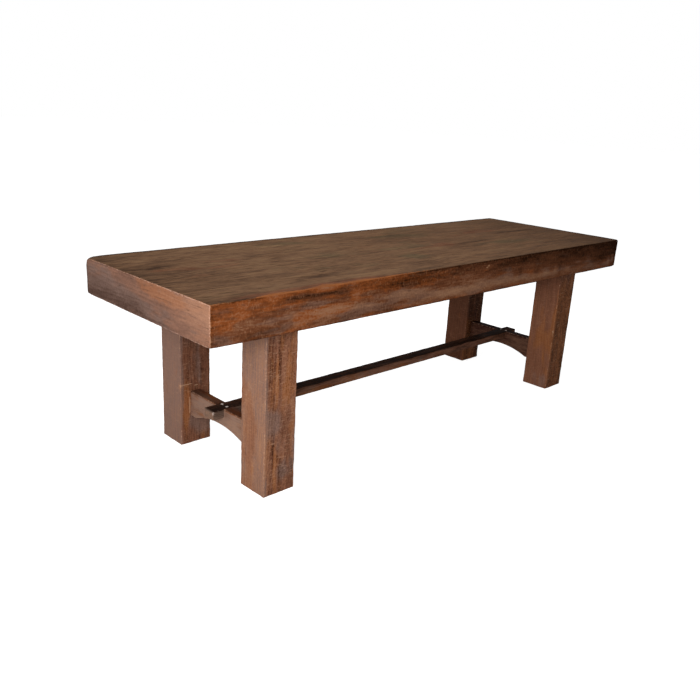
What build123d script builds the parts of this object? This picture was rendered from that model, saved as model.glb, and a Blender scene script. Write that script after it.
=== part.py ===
from build123d import *
import os

# A heavy rustic dining table in stained hardwood.
# Its thick top is built up: planks lie along the length, and mitred skirts fold down round them.
# Four square posts carry it. Each end pair is joined by an arched stretcher tenoned into the posts,
# and one centre stretcher is let into the tops of the two arched ones and screwed down.
# Lengths are in millimetres. X runs along the table, Y across it towards the back, Z up.
# The origin is on the floor, at the middle of the table.

# Overall sizes
top_length = 2500
top_width = 820
top_height = 762

# Built-up top
edge_height = 138
plank_thickness = 34
plank_count = 5
seam_chamfer = 0.8
corner_round = 9
top_arris = 3
lower_arris = 1.5
mitre_angle = 45

# Posts
leg_width = 138
end_overhang = 265
side_overhang = 69
leg_arris = 3
foot_arris = 2

# Arched end stretchers
stretcher_top = 226
stretcher_thickness = 45
stretcher_depth = 106
arch_rise = 34
arch_flat = 38
arch_arris = 1.5
tenon_thickness = 22
tenon_shoulder = 14
tenon_length = 60

# Centre stretcher
beam_width = 57
beam_height = 36
beam_projection = 50
beam_arris = 1.5

# Cross rails and battens under the planks
rail_thickness = 45
rail_height = 95
rail_end_gap = 2
batten_width = 90
batten_thickness = 30
batten_count = 3
rail_arris = 1

# Corner blocks inside the skirts
block_leg = 85
block_height = 80

# Lag bolts that hold the posts to the cross rails
bolt_diameter = 10
bolt_bite = 60
bolt_spacing = 50
bolt_head_across = 20
bolt_head_height = 6.5
washer_diameter = 26
washer_thickness = 2

# Dome-headed screws where the stretchers cross
lap_screw_diameter = 5.5
lap_screw_bite = 24
lap_screw_spacing = 32
lap_head_diameter = 12
lap_head_height = 2.6

# Hexagon-headed timber screws that hold the rails and battens up to the planks
plank_screw_diameter = 6
plank_screw_bite = 22
plank_head_across = 10
plank_head_height = 4

# Sides of the shanks and pilot holes that stay out of sight in the wood
shank_sides = 12

# Fits and cutting
joint_gap = 0.3
hole_gap = 0.25
overrun = 10

# Places worked out from the sizes above
plank_underside = top_height - plank_thickness
skirt_underside = top_height - edge_height
leg_x = top_length / 2 - end_overhang - leg_width / 2
leg_y = top_width / 2 - side_overhang - leg_width / 2
leg_inner_y = leg_y - leg_width / 2
rail_x = leg_x - leg_width / 2 - rail_thickness / 2
rail_length = top_width - 2 * plank_thickness - 2 * rail_end_gap
beam_length = 2 * (leg_x + stretcher_thickness / 2 + beam_projection)
beam_underside = stretcher_top - beam_height
plank_width = top_width / plank_count
batten_spacing = 2 * (rail_x - rail_thickness / 2) / (batten_count + 1)
side_words = {-1: "left", 1: "right"}
face_words = {-1: "front", 1: "back"}


def block(size_x, size_y, size_z, place_x, place_y, base_z):
    """A square block that stands on base_z, centred on place_x and place_y."""
    solid = Box(size_x, size_y, size_z, align=(Align.CENTER, Align.CENTER, Align.MIN))
    return Pos(place_x, place_y, base_z) * solid


def round_bar(diameter, length, base_z=0):
    """An upright round bar whose lower end is at base_z."""
    return Pos(0, 0, base_z) * Cylinder(diameter / 2, length, align=(Align.CENTER, Align.CENTER, Align.MIN))


# Built-up top

def top_envelope():
    """The whole outside of the top: rounded corners and eased arrises."""
    outline = RectangleRounded(top_length, top_width, corner_round)
    envelope = Pos(0, 0, skirt_underside) * extrude(outline, amount=edge_height)
    envelope = fillet(envelope.faces().sort_by(Axis.Z)[-1].edges(), top_arris)
    return chamfer(envelope.faces().sort_by(Axis.Z)[0].edges(), lower_arris)


def mitred_layer():
    """The plank layer before it is divided: its rim slopes in at the mitre angle as it goes down."""
    upper_face = Pos(0, 0, top_height) * Rectangle(top_length, top_width)
    return extrude(upper_face, amount=plank_thickness, dir=(0, 0, -1), taper=mitre_angle)


def plank(number, layer):
    """One plank of the layer, with a fine chamfer along each seam and a pilot hole for each of its screws."""
    band = block(top_length + overrun, plank_width, plank_thickness, 0, plank_middle(number), plank_underside)
    seam_edges = band.edges().filter_by(Axis.X).group_by(Axis.Z)[-1]
    seam_edges = [edge for edge in seam_edges if abs(edge.center().Y) < top_width / 2 - corner_round]
    wood = layer & chamfer(seam_edges, seam_chamfer)
    for x, grip in plank_screw_rows():
        wood -= Pos(x, plank_middle(number), 0) * plank_screw_hole(grip)
    return wood


def mitre_wedge(side_x, side_y):
    """The plan area of one skirt, cut at 45 degrees through the corners of the top."""
    out_x = top_length / 2 + overrun
    out_y = top_width / 2 + overrun
    reach = plank_thickness + 2 * overrun
    in_x = out_x - reach
    in_y = out_y - reach
    if side_y:
        outer = side_y * out_y
        inner = side_y * in_y
        corners = [(-out_x, outer), (out_x, outer), (in_x, inner), (-in_x, inner)]
    else:
        outer = side_x * out_x
        inner = side_x * in_x
        corners = [(outer, -out_y), (outer, out_y), (inner, in_y), (inner, -in_y)]
    area = make_face(Polyline(*corners, close=True))
    wedge = extrude(area, amount=edge_height + 2 * overrun, dir=(0, 0, 1))
    return Pos(0, 0, skirt_underside - overrun) * wedge


def skirt_ring(envelope, layer):
    """All four skirts as one ring: the outside less the planks and the hollow inside."""
    hollow = block(top_length - 2 * plank_thickness, top_width - 2 * plank_thickness, edge_height,
                   0, 0, skirt_underside - overrun)
    return envelope - layer - hollow


def corner_block(side_x, side_y):
    """A glued three-cornered block in the angle of two skirts."""
    corner_x = side_x * (top_length / 2 - plank_thickness)
    corner_y = side_y * (top_width / 2 - plank_thickness)
    plan = [(corner_x, corner_y),
            (corner_x - side_x * block_leg, corner_y),
            (corner_x, corner_y - side_y * block_leg)]
    area = make_face(Polyline(*plan, close=True))
    return Pos(0, 0, plank_underside - block_height) * extrude(area, amount=block_height, dir=(0, 0, 1))


# Fasteners

def shank_bar(diameter, length, base_z=0):
    """An upright shank, or the pilot hole for one, whose lower end is at base_z."""
    return Pos(0, 0, base_z) * extrude(RegularPolygon(diameter / 2, shank_sides), amount=length)


def hexagon_head(across, height):
    """A hexagon head, given by its size across flats, that stands on zero."""
    return extrude(RegularPolygon(across / 2, 6, major_radius=False), amount=height)


def lag_bolt():
    """A lag bolt with its washer. The washer seats at zero, and the shank goes down from it."""
    shank_length = rail_thickness + bolt_bite
    shank = shank_bar(bolt_diameter, shank_length, -shank_length)
    washer = round_bar(washer_diameter, washer_thickness)
    return shank + washer + Pos(0, 0, washer_thickness) * hexagon_head(bolt_head_across, bolt_head_height)


def dome_screw():
    """A dome-headed wood screw. The head seats at zero, and the shank goes down from it."""
    shank_length = beam_height + lap_screw_bite
    crown = (0, 0, lap_head_height)
    rim = (lap_head_diameter / 2, 0, 0)
    dome = TangentArc(crown, rim, tangent=(1, 0, 0))
    section = make_face([dome, Line(rim, (0, 0, 0)), Line((0, 0, 0), crown)])
    return shank_bar(lap_screw_diameter, shank_length, -shank_length) + revolve(section, Axis.Z)


def plank_screw(grip):
    """A timber screw that points up through wood of that depth. Its head lies under zero."""
    head = Pos(0, 0, -plank_head_height) * hexagon_head(plank_head_across, plank_head_height)
    return head + shank_bar(plank_screw_diameter, grip + plank_screw_bite)


def plank_screw_hole(grip):
    """The hole of a plank screw: through wood of that depth, and on into a plank."""
    length = grip + plank_screw_bite + hole_gap + overrun
    return shank_bar(plank_screw_diameter + 2 * hole_gap, length, plank_underside - grip - overrun)


def plank_screw_rows():
    """The rows of plank screws: each row's place along the table, and the depth of its rail or batten."""
    rails = [(x, rail_height) for x in rail_places()]
    battens = [(x, batten_thickness) for x in batten_places()]
    return rails + battens


def plank_middle(number):
    """The middle of one plank across the table."""
    return -top_width / 2 + (number + 0.5) * plank_width


def bolt_heights():
    """The heights of the two lag bolts of a post, each side of the middle of the rail."""
    middle = plank_underside - rail_height / 2
    return [middle - bolt_spacing / 2, middle + bolt_spacing / 2]


# Rails and battens

def rail_places():
    """The two cross rails, just inside the posts."""
    return [-rail_x, rail_x]


def batten_places():
    """The battens, evenly spaced between the rails."""
    first = -(batten_count - 1) / 2
    return [(first + number) * batten_spacing for number in range(batten_count)]


def cross_bar(width, height, place_x):
    """A rail or batten across the undersides of the planks, with a hole for each plank's screw."""
    bar = block(width, rail_length, height, place_x, 0, plank_underside - height)
    bar = chamfer(bar.edges().filter_by(Axis.Y).group_by(Axis.Z)[0], rail_arris)
    for number in range(plank_count):
        bar -= Pos(place_x, plank_middle(number), 0) * plank_screw_hole(height)
    return bar


def cross_rail(side_x):
    """A rail on edge behind two posts, drilled for their lag bolts as well."""
    rail = cross_bar(rail_thickness, rail_height, side_x * rail_x)
    hole_length = rail_thickness + 2 * overrun
    hole = shank_bar(bolt_diameter + 2 * hole_gap, hole_length, -hole_length / 2)
    for side_y in (-1, 1):
        for height in bolt_heights():
            rail -= Pos(side_x * rail_x, side_y * leg_y, height) * Rot(0, -side_x * 90, 0) * hole
    return rail


# Under-frame

def tenon(side_y, gap=0):
    """The tenon of an end stretcher, or with a gap the mortise that takes it."""
    height = stretcher_depth - 2 * tenon_shoulder + 2 * gap
    length = tenon_length + gap
    base_z = stretcher_top - stretcher_depth + tenon_shoulder - gap
    return block(tenon_thickness + 2 * gap, length, height, 0, side_y * (leg_inner_y + length / 2), base_z)


def post(side_x, side_y):
    """A square post with eased arrises, its mortise and the pilot holes of its lag bolts."""
    leg = block(leg_width, leg_width, plank_underside, side_x * leg_x, side_y * leg_y, 0)
    leg = chamfer(leg.edges().filter_by(Axis.Z), leg_arris)
    leg = chamfer(leg.faces().sort_by(Axis.Z)[0].edges(), foot_arris)
    leg -= Pos(side_x * leg_x, 0, 0) * tenon(side_y, joint_gap)
    pilot_length = bolt_bite + hole_gap
    pilot = shank_bar(bolt_diameter + 2 * hole_gap, pilot_length + overrun, -pilot_length)
    for height in bolt_heights():
        leg -= Pos(side_x * (leg_x - leg_width / 2), side_y * leg_y, height) * Rot(0, -side_x * 90, 0) * pilot
    return leg


def arched_outline():
    """The long side of an end stretcher: level top, and below it an arch between two short flats."""
    low = stretcher_top - stretcher_depth
    arch_half = leg_inner_y - arch_flat
    arch = ThreePointArc((0, -arch_half, low), (0, 0, low + arch_rise), (0, arch_half, low))
    rest = Polyline((0, arch_half, low), (0, leg_inner_y, low), (0, leg_inner_y, stretcher_top),
                    (0, -leg_inner_y, stretcher_top), (0, -leg_inner_y, low), (0, -arch_half, low))
    return make_face([arch, rest])


def end_stretcher(side_x):
    """An arched stretcher with a tenon at each end and a housing for the centre stretcher."""
    body = extrude(arched_outline(), amount=stretcher_thickness / 2, dir=(1, 0, 0), both=True)
    arch_edges = body.faces().filter_by(GeomType.CYLINDER).edges().filter_by(GeomType.CIRCLE)
    body = chamfer(arch_edges, arch_arris)
    for side_y in (-1, 1):
        body += tenon(side_y)
    body -= block(stretcher_thickness + 2 * overrun, beam_width + 2 * joint_gap, beam_height + overrun,
                  0, 0, beam_underside)
    pilot_length = lap_screw_bite + hole_gap
    pilot = shank_bar(lap_screw_diameter + 2 * hole_gap, pilot_length + overrun, -pilot_length)
    for side_y in (-1, 1):
        body -= Pos(0, side_y * lap_screw_spacing / 2, beam_underside) * pilot
    return Pos(side_x * leg_x, 0, 0) * body


def centre_stretcher():
    """The long bar that lies in the housings and runs on past them, drilled for its four screws."""
    bar = block(beam_length, beam_width, beam_height, 0, 0, beam_underside)
    bar = chamfer(bar.edges().filter_by(Axis.X), beam_arris)
    hole = shank_bar(lap_screw_diameter + 2 * hole_gap, beam_height + 2 * overrun, beam_underside - overrun)
    for x, y in lap_screw_places():
        bar -= Pos(x, y, 0) * hole
    return bar


def lap_screw_places():
    """Two screws side by side at each crossing of the stretchers."""
    places = []
    for side_x in (-1, 1):
        for side_y in (-1, 1):
            places.append((side_x * leg_x, side_y * lap_screw_spacing / 2))
    return places


# Sets of like fasteners

def leg_bolt_set():
    """Two lag bolts through the rail into each post, with their heads towards the middle of the table."""
    bolts = []
    for side_x in (-1, 1):
        seat_x = side_x * (rail_x - rail_thickness / 2)
        for side_y in (-1, 1):
            for height in bolt_heights():
                bolts.append(Pos(seat_x, side_y * leg_y, height) * Rot(0, -side_x * 90, 0) * lag_bolt())
    return bolts


def lap_screw_set():
    """The screws that hold the centre stretcher down in its housings."""
    return [Pos(x, y, stretcher_top) * dome_screw() for x, y in lap_screw_places()]


def plank_screw_set():
    """The screws that hold the rails and battens up to the planks."""
    screws = []
    for x, grip in plank_screw_rows():
        for number in range(plank_count):
            screws.append(Pos(x, plank_middle(number), plank_underside - grip) * plank_screw(grip))
    return screws


def build():
    """Every piece of the table by its name."""
    pieces = {}
    envelope = top_envelope()
    flat_layer = mitred_layer()
    layer = envelope & flat_layer
    for number in range(plank_count):
        pieces[f"top_plank_{number + 1}"] = plank(number, layer)
    ring = skirt_ring(envelope, flat_layer)
    for side_y, word in face_words.items():
        pieces[f"skirt_{word}"] = ring & mitre_wedge(0, side_y)
    for side_x, word in side_words.items():
        pieces[f"skirt_{word}"] = ring & mitre_wedge(side_x, 0)
    for side_y, face_word in face_words.items():
        for side_x, side_word in side_words.items():
            pieces[f"corner_block_{face_word}_{side_word}"] = corner_block(side_x, side_y)
            pieces[f"leg_{face_word}_{side_word}"] = post(side_x, side_y)
    for side_x, word in side_words.items():
        pieces[f"cross_rail_{word}"] = cross_rail(side_x)
        pieces[f"end_stretcher_{word}"] = end_stretcher(side_x)
    for number, place_x in enumerate(batten_places()):
        pieces[f"batten_{number + 1}"] = cross_bar(batten_width, batten_thickness, place_x)
    pieces["centre_stretcher"] = centre_stretcher()
    pieces["leg_bolts"] = Compound(children=leg_bolt_set())
    pieces["lap_screws"] = Compound(children=lap_screw_set())
    pieces["plank_screws"] = Compound(children=plank_screw_set())
    return pieces


os.makedirs("parts", exist_ok=True)
for name, shape in build().items():
    export_step(shape, f"parts/{name}.step")
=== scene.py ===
"""The looks of a heavy rustic dining table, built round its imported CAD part.

The visible timbers are closed surfaces: a section carried along each timber, with its arrises worn round and
its faces slightly hollowed. The hidden rails, battens, blocks and fasteners keep their CAD nodes and get
finishes here. Lengths are metres, and patterns in the wood are given in millimetres.
"""
from __future__ import annotations

import logging
import math
from collections.abc import Iterable, Sequence
from dataclasses import dataclass, field
from enum import Enum
from functools import partial

import bpy
import numpy as np
from mathutils import Matrix, Vector

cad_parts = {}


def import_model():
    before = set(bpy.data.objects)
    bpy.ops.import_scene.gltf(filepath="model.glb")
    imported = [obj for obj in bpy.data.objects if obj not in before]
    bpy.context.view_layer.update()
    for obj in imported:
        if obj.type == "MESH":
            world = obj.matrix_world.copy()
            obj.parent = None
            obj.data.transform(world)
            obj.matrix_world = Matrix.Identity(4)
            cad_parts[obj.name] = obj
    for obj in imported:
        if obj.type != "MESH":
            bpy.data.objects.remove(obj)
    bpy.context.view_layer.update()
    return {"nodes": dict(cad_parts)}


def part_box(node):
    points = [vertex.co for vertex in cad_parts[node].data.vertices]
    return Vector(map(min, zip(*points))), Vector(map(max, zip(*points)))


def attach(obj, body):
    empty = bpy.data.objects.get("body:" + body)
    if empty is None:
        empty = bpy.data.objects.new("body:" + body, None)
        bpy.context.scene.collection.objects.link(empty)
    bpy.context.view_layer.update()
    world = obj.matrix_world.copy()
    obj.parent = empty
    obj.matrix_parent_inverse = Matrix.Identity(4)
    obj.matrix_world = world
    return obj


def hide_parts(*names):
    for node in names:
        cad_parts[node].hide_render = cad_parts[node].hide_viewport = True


Triple = tuple[float, float, float]
Materials = dict[str, bpy.types.Material]
LOG = logging.getLogger("table")
MM = 0.001
# Distances from an arris at which a section has points, so that the arris can be worn round. At each end of a
# section they take up less than this share of it.
ARRIS_STEPS = np.array([0.0, 0.9, 1.9, 3.2, 5.0, 7.5, 11.0, 16.0]) * MM
ARRIS_SHARE = 0.45
# How far apart the rings of an end face are, past its arris, and the share of its half width that they cover.
INSET_STEP = 9 * MM
INSET_SHARE = 0.9
# An arris is worn round by at least this, and rubbed paler this far from it.
LEAST_RADIUS = 1.2 * MM
WEAR_REACH = 20 * MM
# The hollow of a face fades to nothing this deep under it.
SKIN_DEPTH = 20 * MM
# The faces are flat at the floor, and reach their full hollow this far above it.
FOOT_FADE = 30 * MM
# Faces that meet at more than this angle show a crease.
SHARP_ANGLE = math.radians(38)
# The ripples of a timber: each one's mean wavelength and share. The first two are along its arrises, and the
# others are in its faces, whose hollow is this part of the full one on average.
RIPPLES = ((45 * MM, 0.6), (14 * MM, 0.4), (220 * MM, 0.3), (70 * MM, 0.15))
MEAN_HOLLOW = 0.5
# The shortest and the longest wave of a ripple, as shares of the mean one.
WAVE_RANGE = (0.7, 1.6)
# A reach much longer than the table, which sets no bound on its axis.
FAR = 10.0
# The timbers come from anywhere in this length of tree, in millimetres.
TREE_MM = 9000
# Places that agree to this many digits are one place.
DIGITS = 7


# Helpers for colours, nodes and objects

def linear(hex_colour: str) -> tuple[float, float, float, float]:
    """Turn an sRGB hex colour into a linear one.

    Args:
        hex_colour: Six hex digits.

    Returns:
        Red, green, blue and alpha, each from 0 to 1.
    """
    parts = np.array([int(hex_colour[i:i + 2], 16) for i in (0, 2, 4)]) / 255
    parts = np.where(parts <= 0.04045, parts / 12.92, ((parts + 0.055) / 1.055) ** 2.4)
    return (*map(float, parts), 1.0)


def add(tree: bpy.types.NodeTree, kind: str, inputs: dict | None = None, **settings) -> bpy.types.Node:
    """Add one node with its settings, and set or link its inputs.

    Args:
        tree: The node tree that gets the node.
        kind: The node's type without the leading ShaderNode.
        inputs: For a socket's name or number, its value, or the node or output socket that feeds it.
        settings: The node's own properties.

    Returns:
        The new node.
    """
    node = tree.nodes.new("ShaderNode" + kind)
    for name, value in settings.items():
        setattr(node, name, value)
    open_sockets = [socket for socket in node.inputs if socket.enabled]
    for key, value in (inputs or {}).items():
        socket = node.inputs[key] if isinstance(key, int) else next(s for s in open_sockets if s.name == key)
        if isinstance(value, bpy.types.Node):
            value = next(output for output in value.outputs if output.enabled)
        if isinstance(value, bpy.types.NodeSocket):
            tree.links.new(value, socket)
        else:
            socket.default_value = value
    return node


def node_adder(owner: bpy.types.Material | bpy.types.World) -> partial[bpy.types.Node]:
    """Empty the owner's node tree, and give the function that adds a node to it."""
    owner.use_nodes = True
    owner.node_tree.nodes.clear()
    return partial(add, owner.node_tree)


def new_object(name: str, data: bpy.types.ID) -> bpy.types.Object:
    """Make an object of the data, and link it into the scene."""
    thing = bpy.data.objects.new(name, data)
    bpy.context.scene.collection.objects.link(thing)
    return thing


# Finishes

class GrainFrom(Enum):
    """Where a wood finish finds the grain of its piece."""

    TIMBER = "the piece's own timber attribute"
    ACROSS = "object coordinates of a timber that lies across the table"
    UPRIGHT = "object coordinates of an upright timber"


# For a CAD node without a timber attribute, the turn that brings its grain onto the pattern's first axis.
GRAIN_TURNS = {GrainFrom.ACROSS: (0.0, 0.0, -math.pi / 2), GrainFrom.UPRIGHT: (0.0, math.pi / 2, 0.0)}
# The mottles that make up a wood's figure.
TONED = ("cloud", "smear", "fibre", "grit")
# Where each of the others begins to show as a mark, and where the mark is full.
THRESHOLDS = {"flush": (0.50, 0.72), "bloom": (0.56, 0.78), "pore": (0.58, 0.68), "shake": (0.60, 0.70),
              "saw": (0.55, 0.72), "rub": (1.44, 1.64)}
# Nearly all of a noise lies between these two values.
NOISE_RANGE = (0.3, 0.7)
# Where in a growth ring its dark late wood begins, is full, begins to fade, and ends.
LATE_WOOD = (0.2, 0.85, 0.86, 1.0)
# Settings that many nodes share.
SMOOTH = {"interpolation_type": "SMOOTHSTEP"}
COLOUR = {"data_type": "RGBA"}
MULTIPLY_ADD = {"operation": "MULTIPLY_ADD"}


@dataclass(frozen=True)
class Mottle:
    """One pattern of uneven spots in the wood.

    The spots have a length and a width in millimetres, a strength, finer detail, and a swirl that makes them
    wavy.
    """

    along_mm: float
    across_mm: float
    amount: float
    detail: float = 2.0
    swirl: float = 0.0

    def scale(self) -> Triple:
        """Spots for each millimetre, along the grain and across it."""
        return 1 / self.along_mm, 1 / self.across_mm, 1 / self.across_mm


@dataclass(frozen=True)
class WoodFinish:
    """Solid hardwood, sawn, planed by hand, stained and waxed.

    The eye sees growth rings cut at an angle, dark open pores, cloudy stain that took unevenly, orange
    streaks of sapwood, and paler wood where hands and cloths have rubbed the arrises.
    """

    name: str
    deep: str
    middle: str
    light: str
    rust: str
    ash: str
    worn: str
    # Real fibres, pores and grit are too fine for the render. Here they are as coarse as they need to show.
    cloud: Mottle = Mottle(170, 80, 1.1, 4.0)
    smear: Mottle = Mottle(130, 20, 1.0, 3.0)
    fibre: Mottle = Mottle(55, 3.2, 0.6)
    grit: Mottle = Mottle(9, 6, 0.35)
    flush: Mottle = Mottle(190, 34, 1.0, 4.0)
    bloom: Mottle = Mottle(110, 40, 1.0, 4.0)
    pore: Mottle = Mottle(38, 3.0, 0.4, 1.0)
    shake: Mottle = Mottle(110, 7.0, 0.4)
    saw: Mottle = Mottle(4.5, 45, 0.0)
    # The rub breaks up the worn arrises. The wander bends the growth rings, by its amount of ring widths.
    rub: Mottle = Mottle(11, 8, 1.2)
    wander: Mottle = Mottle(420, 120, 5.0)
    noise_roughness: float = 0.62
    ring_mm: float = 9.0
    ring_amount: float = 0.2
    wear_amount: float = 0.5
    roughness: float = 0.5
    roughness_swing: float = 0.08
    specular: float = 0.2
    # The relief's height, how strongly it shows, and how far each pattern raises the surface in it.
    bump_mm: float = 0.5
    bump_strength: float = 0.6
    grit_relief: float = 0.4
    fibre_relief: float = 0.5
    dash_relief: float = -0.9
    saw_relief: float = 1.2
    grain_from: GrainFrom = GrainFrom.TIMBER

    def material(self) -> bpy.types.Material:
        """Build the finish.

        The figure is a sum of the mottles, less the late wood of the growth rings, and it is weaker where the
        piece is calm. The tone is the figure less the depth of the patina and painted shade, and runs from
        the deep stain through the middle colour to the light one. Where the flush passes a threshold, which
        the rust of the patina and painted light attribute lowers, the middle colour turns rusty, and the
        bloom turns it ashy in the same way.

        Returns:
            The material, with colour, roughness and relief from the timber's own pattern.
        """
        material = bpy.data.materials.new(self.name)
        put = node_adder(material)
        if self.grain_from is GrainFrom.TIMBER:
            timber = put("Attribute", attribute_name="timber").outputs["Vector"]
        else:
            place = put("Mapping", {"Vector": put("TexCoord").outputs["Object"],
                                    "Rotation": GRAIN_TURNS[self.grain_from]})
            timber = put("VectorMath", {0: place, "Scale": 1 / MM}, operation="SCALE")
        patina = put("SeparateXYZ", {0: put("Attribute", attribute_name="patina").outputs["Vector"]})
        calm, worn = (put("Attribute", attribute_name=name).outputs["Fac"] for name in ("calm", "worn"))
        mottles = {name: value for name, value in vars(self).items() if isinstance(value, Mottle)}
        noise = {name: put("TexNoise", {"Vector": put("Mapping", {"Vector": timber, "Scale": mottle.scale()}),
                                        "Scale": 1.0, "Detail": mottle.detail,
                                        "Roughness": self.noise_roughness, "Distortion": mottle.swirl})
                 for name, mottle in mottles.items()}

        # Growth rings: the distance from the pith in rings, wandering along the timber by a few widths.
        sway = self.wander.amount * self.ring_mm
        bend = put("VectorMath", {0: noise["wander"].outputs["Color"], 1: (sway, sway, sway), 2: timber},
                   **MULTIPLY_ADD)
        from_pith = put("Mapping", {"Vector": bend, "Scale": (0, 1 / self.ring_mm, 1 / self.ring_mm)})
        radius = put("VectorMath", {0: from_pith}, operation="LENGTH").outputs["Value"]
        ring = put("Math", {0: radius}, operation="FRACT")
        start, full, fading, end = LATE_WOOD
        rise = put("MapRange", {0: ring, 1: start, 2: full}, **SMOOTH)
        fall = put("MapRange", {0: ring, 1: fading, 2: end, 3: 1.0, 4: 0.0}, **SMOOTH)
        late_wood = put("Math", {0: rise, 1: fall}, operation="MULTIPLY")

        # A noise has a mean of one half, so half of each amount comes off and the figure's mean is nothing.
        figure = -sum(mottles[name].amount for name in TONED) / 2
        for name in TONED:
            figure = put("Math", {0: noise[name], 1: mottles[name].amount, 2: figure}, **MULTIPLY_ADD)
        figure = put("Math", {0: late_wood, 1: -self.ring_amount, 2: figure}, **MULTIPLY_ADD)
        lively = put("Math", {0: 1.0, 1: calm}, operation="SUBTRACT", use_clamp=True)
        depth = put("Math", {0: 0.5, 1: patina.outputs["X"]}, operation="SUBTRACT")
        tone = put("Math", {0: figure, 1: lively, 2: depth}, **MULTIPLY_ADD)

        # Marks: rust and ash, which the patina and painted light attribute moves, open pores and short shakes
        # as dark dashes along the grain, saw marks as pale ones across it, and the paler wood of rubbed
        # arrises.
        levels = noise | {
            "flush": put("Math", {0: noise["flush"], 1: patina.outputs["Y"]}, operation="ADD"),
            "bloom": put("Math", {0: noise["bloom"], 1: patina.outputs["Z"]}, operation="ADD"),
            "rub": put("Math", {0: noise["rub"], 1: self.rub.amount, 2: worn}, **MULTIPLY_ADD)}
        amounts = {name: mottle.amount for name, mottle in mottles.items()} | {"rub": self.wear_amount}
        marks = {name: put("MapRange", {0: levels[name], 1: low, 2: high, 4: amounts[name]}, **SMOOTH)
                 for name, (low, high) in THRESHOLDS.items()}
        dashes = put("Math", {0: marks["pore"], 1: marks["shake"]}, operation="MAXIMUM")
        dashes, sawn = (put("Math", {0: mark, 1: lively}, operation="MULTIPLY")
                        for mark in (dashes, marks["saw"]))

        colour = linear(self.middle)
        for factor, over in ((marks["flush"], self.rust), (marks["bloom"], self.ash)):
            colour = put("Mix", {"Factor": factor, "A": colour, "B": linear(over)}, **COLOUR)
        darker, lighter = (put("MapRange", {0: tone, 1: low, 2: low + 0.5}) for low in (0.0, 0.5))
        colour = put("Mix", {"Factor": darker, "A": linear(self.deep), "B": colour}, **COLOUR)
        for factor, over in ((lighter, self.light), (dashes, self.deep), (sawn, self.worn),
                             (marks["rub"], self.worn)):
            colour = put("Mix", {"Factor": factor, "A": colour, "B": linear(over)}, **COLOUR)

        relief = 0.0
        for height, share in ((noise["grit"], self.grit_relief), (noise["fibre"], self.fibre_relief),
                              (dashes, self.dash_relief), (noise["saw"], self.saw_relief * self.saw.amount)):
            relief = put("Math", {0: height, 1: share, 2: relief}, **MULTIPLY_ADD)
        bump = put("Bump", {"Height": relief, "Strength": self.bump_strength, "Distance": self.bump_mm * MM})
        low, high = NOISE_RANGE
        gloss = put("MapRange", {0: noise["smear"], 1: low, 2: high, 3: self.roughness - self.roughness_swing,
                                 4: self.roughness + self.roughness_swing}, **SMOOTH)
        shader = put("BsdfPrincipled", {"Base Color": colour, "Roughness": gloss, "Normal": bump,
                                        "Specular IOR Level": self.specular})
        put("OutputMaterial", {"Surface": shader})
        return material


@dataclass(frozen=True)
class SteelFinish:
    """Steel, plated with zinc and dulled by handling: pale grey, with soft cloudy reflections."""

    name: str
    bright: str = "B9B2A8"
    dull: str = "8C8278"
    roughness: float = 0.38
    roughness_swing: float = 0.15
    metallic: float = 1.0
    spangle_mm: float = 3.0
    spangle_detail: float = 3.0
    bump_mm: float = 0.05
    bump_strength: float = 0.3

    def material(self) -> bpy.types.Material:
        """Build the finish.

        Returns:
            The material. Its dull places are the rough ones.
        """
        material = bpy.data.materials.new(self.name)
        put = node_adder(material)
        cloud = put("TexNoise", {"Vector": put("TexCoord").outputs["Object"],
                                 "Scale": 1 / (self.spangle_mm * MM), "Detail": self.spangle_detail})
        colour = put("Mix", {"Factor": cloud, "A": linear(self.dull), "B": linear(self.bright)}, **COLOUR)
        gloss = put("MapRange", {"Value": cloud, "To Min": self.roughness + self.roughness_swing,
                                 "To Max": self.roughness})
        bump = put("Bump", {"Height": cloud, "Strength": self.bump_strength, "Distance": self.bump_mm * MM})
        shader = put("BsdfPrincipled", {"Base Color": colour, "Metallic": self.metallic, "Roughness": gloss,
                                        "Normal": bump})
        put("OutputMaterial", {"Surface": shader})
        return material


# Shaping

def ripple(points: np.ndarray, wavelength: float, seed: int, waves: int = 14) -> np.ndarray:
    """Smooth unevenness, of about -1 to 1.

    It is the sum of cosine waves in seeded directions, divided by the square root of their number.

    Args:
        points: Places, in metres.
        wavelength: The mean length of a wave, in metres.
        seed: Chooses the waves.
        waves: How many there are.

    Returns:
        One number for each place.
    """
    draw = np.random.default_rng(seed)
    directions = draw.normal(size=(3, waves))
    directions /= np.linalg.norm(directions, axis=0)
    lengths = wavelength * draw.uniform(*WAVE_RANGE, waves)
    angles = points @ (directions * 2 * np.pi / lengths) + draw.uniform(0, 2 * np.pi, waves)
    return np.cos(angles).sum(-1) / math.sqrt(waves)


def spread(low: float, high: float, step: float) -> np.ndarray:
    """Places from low to high: close together at both ends for the arrises, and a step apart between them.

    Args:
        low: The first place.
        high: The last place.
        step: About how far apart the middle places are.

    Returns:
        The places in order.
    """
    near = ARRIS_STEPS[ARRIS_STEPS < ARRIS_SHARE * (high - low)]
    inner_low, inner_high = low + near[-1], high - near[-1]
    count = max(2, round((inner_high - inner_low) / step) + 1)
    middle = np.linspace(inner_low, inner_high, count)
    return np.concatenate([low + near[:-1], middle, high - near[:-1][::-1]])


def merged(runs: Sequence[np.ndarray]) -> np.ndarray:
    """The places of several runs in order, each of them once."""
    return np.unique(np.concatenate(runs).round(DIGITS))


def run(across: np.ndarray | float, up: np.ndarray | float) -> np.ndarray:
    """A run of a section's points, as rows of two numbers. One of the two may be the same for all of them."""
    return np.stack(np.broadcast_arrays(across, up), 1)


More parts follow.
